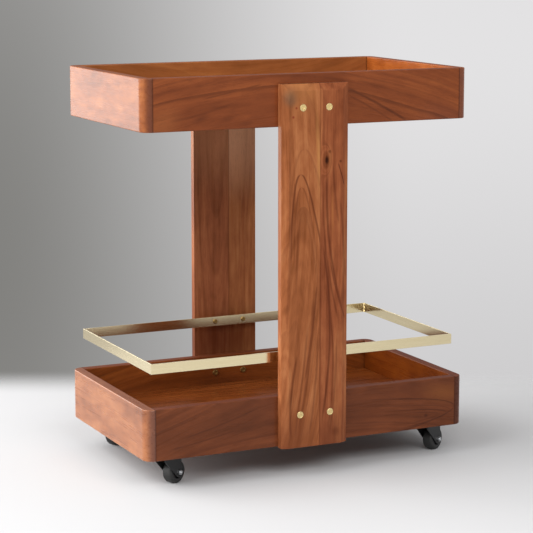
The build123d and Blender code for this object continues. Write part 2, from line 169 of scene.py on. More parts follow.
def paperFloor(look):  # background paper, matt: even, with no gloss
    material, tree = newMaterial("mattPaperFloor")
    place = addNode(tree, "ShaderNodeTexCoord").outputs["Object"]
    radius = addNode(tree, "ShaderNodeVectorMath", {"operation": "LENGTH"}, {0: place})
    depth = addNode(tree, "ShaderNodeVectorMath", {"operation": "DOT_PRODUCT", 1: depthWay}, {0: place})
    fades = []
    for distance, ends in ((radius, look["floorFade"]), (depth, look["sweepFade"])):
        fades.append(addNode(tree, "ShaderNodeMapRange",
                             {"interpolation_type": "SMOOTHSTEP", **span("From", ends)},
                             {0: distance.outputs["Value"]}))
    gone = addNode(tree, "ShaderNodeMath", {"operation": "MAXIMUM"}, {0: fades[0], 1: fades[1]})
    paper = addNode(tree, "ShaderNodeBsdfDiffuse", {"Color": hexColour(look["floorColour"])})
    clear = addNode(tree, "ShaderNodeBsdfTransparent")
    both = addNode(tree, "ShaderNodeMixShader", {}, {0: gone, 1: paper, 2: clear})
    addNode(tree, "ShaderNodeOutputMaterial", {}, {"Surface": both})
    return material


def makeWorld(look):
    world = bpy.data.worlds.new("studio")
    scene.world = world
    world.use_nodes = True
    tree = world.node_tree
    tree.nodes.clear()
    way = addNode(tree, "ShaderNodeTexCoord").outputs["Generated"]
    height = addNode(tree, "ShaderNodeSeparateXYZ", {}, {0: way}).outputs["Z"]
    darkWay = (depthWay - rightWay * look["darkAside"]).normalized() - Vector((0, 0, look["darkBelow"]))
    apart = addNode(tree, "ShaderNodeVectorMath", {"operation": "SUBTRACT", 1: darkWay}, {0: way})
    squeezed = addNode(tree, "ShaderNodeVectorMath", {"operation": "MULTIPLY", 1: look["darkSquash"]},
                       {0: apart})
    spread = addNode(tree, "ShaderNodeVectorMath", {"operation": "LENGTH"}, {0: squeezed}).outputs["Value"]
    light = addNode(tree, "ShaderNodeMapRange",
                    {"interpolation_type": "SMOOTHSTEP", "From Max": look["darkReach"]}, {0: spread})
    low = addNode(tree, "ShaderNodeMapRange",
                  {"interpolation_type": "SMOOTHSTEP", **span("From", look["lowFade"])}, {0: height})
    pale = addNode(tree, "ShaderNodeMix",
                   {"data_type": "RGBA", mixA: hexColour(look["backdropLight"]),
                    mixB: hexColour(look["backdropLow"])}, {0: low}).outputs[mixResult]
    shade = addNode(tree, "ShaderNodeMix", {"data_type": "RGBA", mixA: hexColour(look["backdropDark"])},
                    {0: light, mixB: pale}).outputs[mixResult]
    facing = addNode(tree, "ShaderNodeVectorMath", {"operation": "DOT_PRODUCT", 1: -depthWay}, {0: way})
    front = addNode(tree, "ShaderNodeMapRange",
                    {"interpolation_type": "SMOOTHSTEP", **span("From", look["frontFade"])},
                    {0: facing.outputs["Value"]})
    shade = addNode(tree, "ShaderNodeMix", {"data_type": "RGBA", mixB: hexColour(look["studioFront"])},
                    {0: front, mixA: shade}).outputs[mixResult]
    seen = addNode(tree, "ShaderNodeBackground", {}, {"Color": shade})
    overhead = addNode(tree, "ShaderNodeMapRange", span("To", look["ambient"]), {0: height})
    ambient = addNode(tree, "ShaderNodeBackground", {"Color": (1, 1, 1, 1)}, {"Strength": overhead})
    rays = addNode(tree, "ShaderNodeLightPath").outputs
    direct = addNode(tree, "ShaderNodeMath", {"operation": "MAXIMUM"},
                     {0: rays["Is Camera Ray"], 1: rays["Is Glossy Ray"]})
    direct = addNode(tree, "ShaderNodeMath", {"operation": "MAXIMUM"},
                     {0: direct, 1: rays["Is Transmission Ray"]})
    both = addNode(tree, "ShaderNodeMixShader", {}, {0: direct, 1: ambient, 2: seen})
    addNode(tree, "ShaderNodeOutputWorld", {}, {"Surface": both})


makeFloor(studio)
makeWorld(studio)

softboxes = {
    "windowLeft": {"place": (-4.2, 0.6, 2.75), "aim": (-0.1, 0.0, 0.5), "size": (7.2, 5.0), "watts": 485},
    "sheenRear": {"place": (-1.5, 2.6, 0.78), "aim": (-0.2, 0.0, 0.5), "size": (1.6, 1.5), "watts": 26},
    "fillFront": {"place": (-0.3, -3.0, 2.35), "aim": (0.0, 0.0, 0.5), "size": (2.4, 1.4), "watts": 62},
}
for name, box in softboxes.items():
    lamp = bpy.data.lights.new(name, "AREA")
    lamp.shape = "RECTANGLE"
    lamp.size, lamp.size_y = box["size"]
    lamp.energy = box["watts"]
    holder = bpy.data.objects.new(name, lamp)
    holder.location = box["place"]
    holder.rotation_euler = (Vector(box["aim"]) - Vector(box["place"])).to_track_quat("-Z", "Y").to_euler()
    holder.visible_camera = False
    scene.collection.objects.link(holder)
print("studio lit")


# Acacia: growth rings round a pith beside the board, cut by its faces, so arches, streaks and
# end grain follow from one solid pattern. In a board's own axes the grain runs along z. The
# places of knots, streaks, arches, stained patches, painted light and shade, and marks are given
# on the cart, in metres.

grainTurns = {"X": (0, -90, 0), "Y": (90, 0, 0), "Z": (0, 0, 0)}
grainWays = {"X": (1, 0, 0), "Y": (0, 1, 0), "Z": (0, 0, 1)}

woodNoise = {  # repeats in a metre: twice across the grain, then along it
    "drift": {"repeats": (9, 9, 3.2), "seed": 0, "detail": 2.0},  # slow bends of the trunk, 110 mm across
    "waver": {"repeats": (38, 38, 9), "seed": 3, "detail": 2.0},  # rings waver over a finger's width, 26 mm
    "wide": {"repeats": (120, 120, 4), "seed": 5, "detail": 3.0},  # soft streaks about 8 mm wide
    "fine": {"repeats": (650, 650, 14), "seed": 7, "detail": 2.0},  # single fibres, drawn 1.5 mm wide
    "mottle": {"repeats": (65, 65, 26), "seed": 8, "detail": 2.0},  # interlocked grain, 15 mm across
    "cloud": {"repeats": (15, 15, 5), "seed": 9, "detail": 2.5},  # broad clouds, 67 mm across
    # pores of 0.3 mm are too fine to show, so they are drawn 0.9 mm wide and 17 mm long
    "pores": {"repeats": (1100, 1100, 60), "seed": 11, "detail": 1.0},
}

growth = {
    "yearTone": {"Scale": 0.8, "Detail": 3.0, "Roughness": 0.6},  # how the tone changes from year to year
    "latePart": (0.45, 0.97),  # the part of each ring where its dark late wood rises
    "boldPower": 3.0,  # the higher it is, the fewer years stand out
    "streakFade": 0.12,  # a streak has its full depth where its hump, 1/4 half way, passes this
    "archTip": (-0.002, 0.003),  # metres past its tip over which an arch comes up
    "archHold": 0.4,  # the part of its reach over which an arch keeps its depth
}

lacquer = {
    "ior": 1.5,
    "roughness": (0.23, 0.33),  # satin: a soft sheen
    "relief": 0.20,  # the fibres and pores still show a little through the coat
    "reliefDepth": 0.2,  # mm
    "poreEdge": (0.60, 0.70),  # the noise's values where a pore starts and where it is full
    "poreDepth": 0.28,
    "markCore": 0.25,  # a knot or spot is even inside this part of its radius
    "endGrainFrom": 0.58,  # how squarely the grain meets a face that drinks the lacquer and turns darker
    "endGrainDepth": 0.82,
    "rimFrom": 0.75,  # how level a sanded rim is where its painted shade starts and it turns duller
}


def grainTurn(board):
    return Euler([radians(a) for a in grainTurns[board["grain"]]])


def onBoard(board, place):  # from the cart's axes to the board's own
    local = Vector(place) - Vector(board["centre"])
    local.rotate(grainTurn(board))
    return local


def sizeOnBoard(board, size):
    local = Vector(size)
    local.rotate(grainTurn(board))
    return [abs(v) for v in local]


def lacqueredAcacia(name, board):  # planed and sanded hardwood under satin lacquer: deep colour, soft sheen
    material, tree = newMaterial(name)
    coords = addNode(tree, "ShaderNodeTexCoord").outputs
    centre = Vector(board["centre"])
    centre.rotate(grainTurn(board))
    local = addNode(tree, "ShaderNodeMapping", {"Rotation": grainTurn(board), "Location": -centre},
                    {"Vector": coords["Object"]})
    wavy = wander(tree, local, board, "waver")
    bent = wander(tree, bowedGrain(tree, wavy, board), board, "drift")
    rings = ringCount(tree, local, bent, board)
    line = darkLines(tree, wavy, rings, board)
    layers = {kind: woodLayer(tree, bent, board, kind)[0] for kind in ("wide", "fine", "mottle", "pores")}
    layers["cloud"] = woodLayer(tree, local, board, "cloud")[0]

    colour = fibreColour(tree, rings, layers, board)
    for place, size, code, depth in board["stainsAndPaintedShading"]:  # broad soft changes of colour, under the lines: stained patches, painted light and painted shade
        colour = spotted(tree, colour, markDistance(tree, bent, board, place, size), code, depth, 0.0)
    pores = addNode(tree, "ShaderNodeMapRange", span("From", lacquer["poreEdge"]), {0: layers["pores"]})
    dim = addNode(tree, "ShaderNodeMath", {"operation": "MULTIPLY", 1: lacquer["poreDepth"]}, {0: pores})
    for share in (line, dim):
        colour = addNode(tree, "ShaderNodeMix", {"data_type": "RGBA", mixB: hexColour(board["late"])},
                         {0: share, mixA: colour}).outputs[mixResult]
    for place, size, code, depth in board["marks"]:  # knots and spots, over the lines
        distance = markDistance(tree, wavy, board, place, size)
        colour = spotted(tree, colour, distance, code, depth, lacquer["markCore"])

    # end grain drinks the lacquer and turns darker, the rims' level tops are darkened as painted shade, and
    # glue leaves a thin dark line
    normal = coords["Normal"]
    along = addNode(tree, "ShaderNodeVectorMath",
                    {"operation": "DOT_PRODUCT", 1: grainWays[board["grain"]]}, {0: normal}).outputs["Value"]
    cut = addNode(tree, "ShaderNodeMath", {"operation": "ABSOLUTE"}, {0: along})
    cut = addNode(tree, "ShaderNodeMapRange",
                  {"interpolation_type": "SMOOTHSTEP", "From Min": lacquer["endGrainFrom"],
                   "To Max": lacquer["endGrainDepth"]}, {0: cut})
    up = addNode(tree, "ShaderNodeVectorMath", {"operation": "DOT_PRODUCT", 1: (0, 0, 1)}, {0: normal})
    # the level tops of the rims darken: painted shade
    rim = addNode(tree, "ShaderNodeMapRange",
                  {"interpolation_type": "SMOOTHSTEP", "From Min": lacquer["rimFrom"],
                   "To Max": board["rimShadeDepth"]}, {0: up.outputs["Value"]})
    endGrainShadeAndGlue = [(cut, board["endGrain"]), (rim, board["rim"])]
    if board["joints"]:
        endGrainShadeAndGlue.append((glueLine(tree, coords["Object"], board), board["late"]))
    for share, code in endGrainShadeAndGlue:
        colour = addNode(tree, "ShaderNodeMix", {"data_type": "RGBA", mixB: hexColour(code)},
                         {0: share, mixA: colour}).outputs[mixResult]

    gloss = addNode(tree, "ShaderNodeMapRange", span("To", lacquer["roughness"]), {0: layers["wide"]})
    dull = addNode(tree, "ShaderNodeMapRange", {"From Min": lacquer["rimFrom"], "To Max": board["rimRough"]},
                   {0: up.outputs["Value"]})
    gloss = addNode(tree, "ShaderNodeMath", {"operation": "MAXIMUM"}, {0: gloss, 1: dull})
    relief = addNode(tree, "ShaderNodeMath", {"operation": "SUBTRACT"}, {0: layers["fine"], 1: pores})
    bump = addNode(tree, "ShaderNodeBump",
                   {"Strength": lacquer["relief"], "Distance": lacquer["reliefDepth"] / 1000},
                   {"Height": relief})
    wood = addNode(tree, "ShaderNodeBsdfPrincipled",
                   {"IOR": lacquer["ior"], "Specular IOR Level": board["sheen"]},
                   {"Base Color": colour, "Roughness": gloss, "Normal": bump})
    addNode(tree, "ShaderNodeOutputMaterial", {}, {"Surface": wood})
    return material


def woodLayer(tree, place, board, kind):  # noise drawn out along the grain: its value and its colour
    layer = woodNoise[kind]
    drawn = addNode(tree, "ShaderNodeVectorMath", {"operation": "MULTIPLY", 1: layer["repeats"]}, {0: place})
    return addNode(tree, "ShaderNodeTexNoise",
                   {"noise_dimensions": "4D", "W": board["seed"] + layer["seed"], "Scale": 1.0,
                    "Detail": layer["detail"]}, {"Vector": drawn}).outputs


def wander(tree, place, board, kind):  # pushes a place about by a slow noise
    push = woodLayer(tree, place, board, kind)["Color"]
    push = addNode(tree, "ShaderNodeVectorMath", {"operation": "SUBTRACT", 1: (0.5, 0.5, 0.5)}, {0: push})
    push = addNode(tree, "ShaderNodeVectorMath", {"operation": "SCALE", "Scale": board[kind]}, {0: push})
    return addNode(tree, "ShaderNodeVectorMath", {"operation": "ADD"}, {0: place, 1: push}).outputs[0]


def bowedGrain(tree, place, board):  # the grain runs aslant the board and bows along it
    parts = addNode(tree, "ShaderNodeSeparateXYZ", {}, {0: place}).outputs
    climb = addNode(tree, "ShaderNodeMath", {"operation": "MULTIPLY_ADD", 1: board["bow"], 2: board["slope"]},
                    {0: parts["Z"]})
    climb = addNode(tree, "ShaderNodeMath", {"operation": "MULTIPLY"}, {0: climb, 1: parts["Z"]})
    flow = [parts["X"], parts["Y"]]
    side = board["across"]
    flow[side] = addNode(tree, "ShaderNodeMath", {"operation": "SUBTRACT"}, {0: flow[side], 1: climb})
    return addNode(tree, "ShaderNodeCombineXYZ", {}, {0: flow[0], 1: flow[1], 2: parts["Z"]})


def ringCount(tree, local, bent, board):  # years out from the pith, which leans along the board
    along = addNode(tree, "ShaderNodeSeparateXYZ", {}, {0: bent}).outputs["Z"]
    lean = [addNode(tree, "ShaderNodeMath",
                    {"operation": "MULTIPLY_ADD", 1: board["lean"][i], 2: board["pith"][i]}, {0: along})
            for i in (0, 1)]
    pith = addNode(tree, "ShaderNodeCombineXYZ", {}, {"X": lean[0], "Y": lean[1], "Z": along})
    out = addNode(tree, "ShaderNodeVectorMath", {"operation": "DISTANCE"},
                  {0: bent, 1: pith}).outputs["Value"]
    for knot in board["knots"]:  # the rings swell round a knot
        near = addNode(tree, "ShaderNodeMapRange",
                       {"interpolation_type": "SMOOTHERSTEP", **span("To", (knot["swell"], 0.0))},
                       {0: markDistance(tree, local, board, knot["place"], knot["reach"])})
        out = addNode(tree, "ShaderNodeMath", {"operation": "ADD"}, {0: out, 1: near})
    return addNode(tree, "ShaderNodeMath", {"operation": "MULTIPLY", 1: 1 / board["ring"]}, {0: out})


def darkLines(tree, wavy, rings, board):  # late wood, bold in few years, and the lines that were seen
    late = addNode(tree, "ShaderNodeMath", {"operation": "FRACT"}, {0: rings})
    late = addNode(tree, "ShaderNodeMapRange",
                   {"interpolation_type": "SMOOTHERSTEP", **span("From", growth["latePart"])}, {0: late})
    year = addNode(tree, "ShaderNodeMath", {"operation": "FLOOR"}, {0: rings})
    year = addNode(tree, "ShaderNodeMath", {"operation": "ADD", 1: board["seed"]}, {0: year})
    bold = addNode(tree, "ShaderNodeTexWhiteNoise", {"noise_dimensions": "1D"}, {"W": year}).outputs["Value"]
    bold = addNode(tree, "ShaderNodeMath", {"operation": "POWER", 1: growth["boldPower"]}, {0: bold})
    bold = addNode(tree, "ShaderNodeMath", {"operation": "MULTIPLY", 1: board["ringDepth"]}, {0: bold})
    line = addNode(tree, "ShaderNodeMath", {"operation": "MULTIPLY"}, {0: late, 1: bold})
    figures = [darkStreak(tree, wavy, board, row) for row in board["streaks"]]
    figures += [archLine(tree, wavy, board, row) for row in board["arches"]]
    for figure in figures:
        line = addNode(tree, "ShaderNodeMath", {"operation": "MAXIMUM"}, {0: line, 1: figure})
    return line


def fibreColour(tree, rings, layers, board):  # the years' own tones, fibres, mottle and clouds together
    weights = board["weights"]
    tone = addNode(tree, "ShaderNodeTexNoise", {"noise_dimensions": "1D", **growth["yearTone"]}, {"W": rings})
    tone = addNode(tree, "ShaderNodeMath", {"operation": "MULTIPLY", 1: weights["rings"]}, {0: tone})
    shares = {**weights, "cloud": 1 - sum(weights.values())}
    for kind in ("wide", "fine", "mottle", "cloud"):
        tone = addNode(tree, "ShaderNodeMath", {"operation": "MULTIPLY_ADD", 1: shares[kind]},
                       {0: layers[kind], 2: tone})
    ramp = addNode(tree, "ShaderNodeValToRGB", {}, {0: tone})
    stops = ramp.color_ramp.elements
    stops[0].position = 0.5 - board["contrast"]
    stops[0].color = hexColour(board["dark"])
    stops[1].position = 0.5 + board["contrast"]
    stops[1].color = hexColour(board["light"])
    stops.new(0.50).color = hexColour(board["middle"])
    return ramp


def glueLine(tree, place, board):  # strong on a joint's plane, gone a glue line's width away
    glue = None
    for axis, at in board["joints"]:
        off = addNode(tree, "ShaderNodeVectorMath", {"operation": "DOT_PRODUCT", 1: axis}, {0: place})
        off = addNode(tree, "ShaderNodeMath", {"operation": "SUBTRACT", 1: at}, {0: off.outputs["Value"]})
        off = addNode(tree, "ShaderNodeMath", {"operation": "ABSOLUTE"}, {0: off})
        if glue:
            off = addNode(tree, "ShaderNodeMath", {"operation": "MINIMUM"}, {0: off, 1: glue})
        glue = off
    if board["jointFrom"]:  # an end board meets the long boards only near its ends
        depth = addNode(tree, "ShaderNodeSeparateXYZ", {}, {0: place}).outputs["Y"]
        depth = addNode(tree, "ShaderNodeMath", {"operation": "ABSOLUTE"}, {0: depth})
        short = addNode(tree, "ShaderNodeMath", {"operation": "SUBTRACT", 0: board["jointFrom"]}, {1: depth})
        glue = addNode(tree, "ShaderNodeMath", {"operation": "MAXIMUM"}, {0: glue, 1: short})
    return addNode(tree, "ShaderNodeMapRange",
                   {"interpolation_type": "SMOOTHSTEP", "From Max": board["glueWidth"],
                    **span("To", (board["glueDepth"], 0.0))}, {0: glue})


def markDistance(tree, place, board, middle, size):  # 1 on the edge of an oval
    off = addNode(tree, "ShaderNodeVectorMath", {"operation": "SUBTRACT", 1: onBoard(board, middle)},
                  {0: place})
    off = addNode(tree, "ShaderNodeVectorMath", {"operation": "DIVIDE", 1: sizeOnBoard(board, size)},
                  {0: off})
    return addNode(tree, "ShaderNodeVectorMath", {"operation": "LENGTH"}, {0: off}).outputs["Value"]


def spotted(tree, colour, distance, code, depth, core):  # an oval of another colour with a soft edge
    share = addNode(tree, "ShaderNodeMapRange",
                    {"interpolation_type": "SMOOTHSTEP", "From Min": core, **span("To", (depth, 0.0))},
                    {0: distance})
    return addNode(tree, "ShaderNodeMix", {"data_type": "RGBA", mixB: hexColour(code)},
                   {0: share, mixA: colour}).outputs[mixResult]


def darkStreak(tree, place, board, row):  # a line from one place on the face to another, with a bow
    start = onBoard(board, row["start"])
    end = onBoard(board, row["end"])
    side = board["across"]
    parts = addNode(tree, "ShaderNodeSeparateXYZ", {}, {0: place}).outputs
    along = addNode(tree, "ShaderNodeMapRange", {"clamp": False, **span("From", (start.z, end.z))},
                    {0: parts["Z"]})
    level = addNode(tree, "ShaderNodeMapRange", {"clamp": False, **span("To", (start[side], end[side]))},
                    {0: along})
    back = addNode(tree, "ShaderNodeMath", {"operation": "SUBTRACT", 0: 1.0}, {1: along})
    hump = addNode(tree, "ShaderNodeMath", {"operation": "MULTIPLY"}, {0: along, 1: back})
    level = addNode(tree, "ShaderNodeMath", {"operation": "MULTIPLY_ADD", 1: row["bow"]}, {0: hump, 2: level})
    off = addNode(tree, "ShaderNodeMath", {"operation": "SUBTRACT"}, {0: parts[side], 1: level})
    off = addNode(tree, "ShaderNodeMath", {"operation": "ABSOLUTE"}, {0: off})
    body = addNode(tree, "ShaderNodeMapRange",
                   {"interpolation_type": "SMOOTHERSTEP", "From Max": row["width"], **span("To", (1.0, 0.0))},
                   {0: off})
    fade = addNode(tree, "ShaderNodeMapRange",
                   {"interpolation_type": "SMOOTHSTEP", "From Max": growth["streakFade"],
                    "To Max": row["depth"]}, {0: hump})
    return addNode(tree, "ShaderNodeMath", {"operation": "MULTIPLY"}, {0: body, 1: fade})


def archLine(tree, place, board, row):  # one pointed ring of a cathedral figure, open along the grain
    apex = onBoard(board, row["apex"])
    side = board["across"]
    parts = addNode(tree, "ShaderNodeSeparateXYZ", {}, {0: place}).outputs
    below = addNode(tree, "ShaderNodeMath", {"operation": "SUBTRACT", 0: apex.z}, {1: parts["Z"]})
    spread = addNode(tree, "ShaderNodeMath", {"operation": "MAXIMUM", 1: 0.0}, {0: below})
    spread = addNode(tree, "ShaderNodeMath", {"operation": "MULTIPLY", 1: row["spread"]}, {0: spread})
    spread = addNode(tree, "ShaderNodeMath", {"operation": "SQRT"}, {0: spread})
    middle = addNode(tree, "ShaderNodeMath", {"operation": "MULTIPLY_ADD", 1: row["lean"], 2: apex[side]},
                     {0: below})
    off = addNode(tree, "ShaderNodeMath", {"operation": "SUBTRACT"}, {0: parts[side], 1: middle})
    off = addNode(tree, "ShaderNodeMath", {"operation": "ABSOLUTE"}, {0: off})
    off = addNode(tree, "ShaderNodeMath", {"operation": "SUBTRACT"}, {0: off, 1: spread})
    off = addNode(tree, "ShaderNodeMath", {"operation": "ABSOLUTE"}, {0: off})
    body = addNode(tree, "ShaderNodeMapRange",
                   {"interpolation_type": "SMOOTHERSTEP", "From Max": row["width"], **span("To", (1.0, 0.0))},
                   {0: off})
    start = addNode(tree, "ShaderNodeMapRange",
                    {"interpolation_type": "SMOOTHSTEP", **span("From", growth["archTip"]),
                     "To Max": row["depth"]}, {0: below})
    end = addNode(tree, "ShaderNodeMapRange",
                  {"interpolation_type": "SMOOTHSTEP", **span("To", (1.0, 0.0)),
                   **span("From", (row["reach"] * growth["archHold"], row["reach"]))}, {0: below})
    body = addNode(tree, "ShaderNodeMath", {"operation": "MULTIPLY"}, {0: body, 1: start})
    return addNode(tree, "ShaderNodeMath", {"operation": "MULTIPLY"}, {0: body, 1: end})


def streak(face, start, end, bow, width, depth):  # across a face that looks along Y, from (x, z) to (x, z)
    return {"start": (start[0], face, start[1]), "end": (end[0], face, end[1]), "bow": bow, "width": width,
            "depth": depth}


def arch(face, apex, lean, spread, reach, width, depth):  # on such a face, with its tip at (x, z)
    return {"apex": (apex[0], face, apex[1]), "lean": lean, "spread": spread, "reach": reach, "width": width,
            "depth": depth}


def hue(*codes):  # the wood's tones, on some boards partly painted light and shade, its dark lines and its end grain
    return dict(zip(("dark", "middle", "light", "late", "endGrain"), codes))


redBrown = hue("#5f2d15", "#7a3e20", "#934f29", "#3a180c", "#5c3526")
deepBrown = hue("#4d2714", "#66351d", "#7f4528", "#30130a", "#4c2a1f")
floorBrown = hue("#5a2a0f", "#753b17", "#8f4d20", "#381707", "#44241a")
# warmBrown and vividOrange are lighter than the long boards' tones, partly the end boards' own colour and
# partly painted light
warmBrown = hue("#6c391d", "#8f5029", "#ac6a38", "#45200f", "#5e3528")
# a darker copy of the end boards' orange: painted shade inside the lower tray
orangeInPaintedShade = hue("#552208", "#69300b", "#7e3f10", "#3a1606", "#4c2a1f")
vividOrange = hue("#7c3b14", "#9b5120", "#b8692f", "#4a1f0a", "#6c4032")
plainBoard = {
    "waver": 0.003,  # metres that the rings waver
    "drift": 0.018,  # and drift
    "slope": 0.0,  # rise of the grain along the board
    "bow": 0.0,  # and its curve
    "ringDepth": 0.55,  # the darkest that late wood gets
    "contrast": 0.15,  # half the noise's span from the dark tone to the light one, so smaller is stronger
    "sheen": 0.16,  # the lacquer's specular level
    "weights": {"rings": 0.30, "wide": 0.16, "fine": 0.08, "mottle": 0.16},
    # the colour of the rims' level tops: painted shade
    "rim": "#582b1c",
    "rimShadeDepth": 0.0,  # how far the rims' level tops take that colour as painted shade
    "rimRough": 0.0,  # and how rough it is
    "glueWidth": 0.0025,  # metres
    "glueDepth": 0.75,
    "jointFrom": 0.0,  # how far from the cart's middle a joint starts
    "streaks": [],
    "arches": [],
    "knots": [],
    "stainsAndPaintedShading": [],  # stained patches, painted light and painted shade; each has its middle, half size, colour and depth
    "marks": [],  # the same
    "joints": [],
}

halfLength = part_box("lower_tray_front_board")[1][0]  # the end boards start here
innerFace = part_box("lower_tray_back_board")[0][1]
bothJoints = [((1, 0, 0), halfLength), ((1, 0, 0), -halfLength)]
# sanded rims turn duller, and their level tops take painted shade
sandedRimAndShade = {"rimShadeDepth": 0.60, "rimRough": 0.65}
alongX = {**sandedRimAndShade, "grain": "X", "across": 0, "joints": bothJoints}
alongY = {**sandedRimAndShade, "grain": "Y", "across": 1, "joints": bothJoints, "jointFrom": innerFace,
          "ringDepth": 0.25, "weights": {"rings": 0.16, "wide": 0.10, "fine": 0.07, "mottle": 0.30}}
flatPanel = {"grain": "X", "across": 1}
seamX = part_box("front_post_narrow_stave")[0][0]
upright = {"grain": "Z", "across": 0, "joints": [((1, 0, 0), seamX)], "glueWidth": 0.0018, "glueDepth": 0.45,
           "sheen": 0.05, "drift": 0.012, "contrast": 0.11,
           "weights": {"rings": 0.30, "wide": 0.24, "fine": 0.08, "mottle": 0.14}}

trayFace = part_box("top_tray_front_board")[0][1]
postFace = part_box("front_post_wide_stave")[0][1]
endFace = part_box("top_tray_left_board")[0][0]
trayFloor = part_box("lower_tray_floor")[1][2]
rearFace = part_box("rear_post_wide_stave")[0][1]

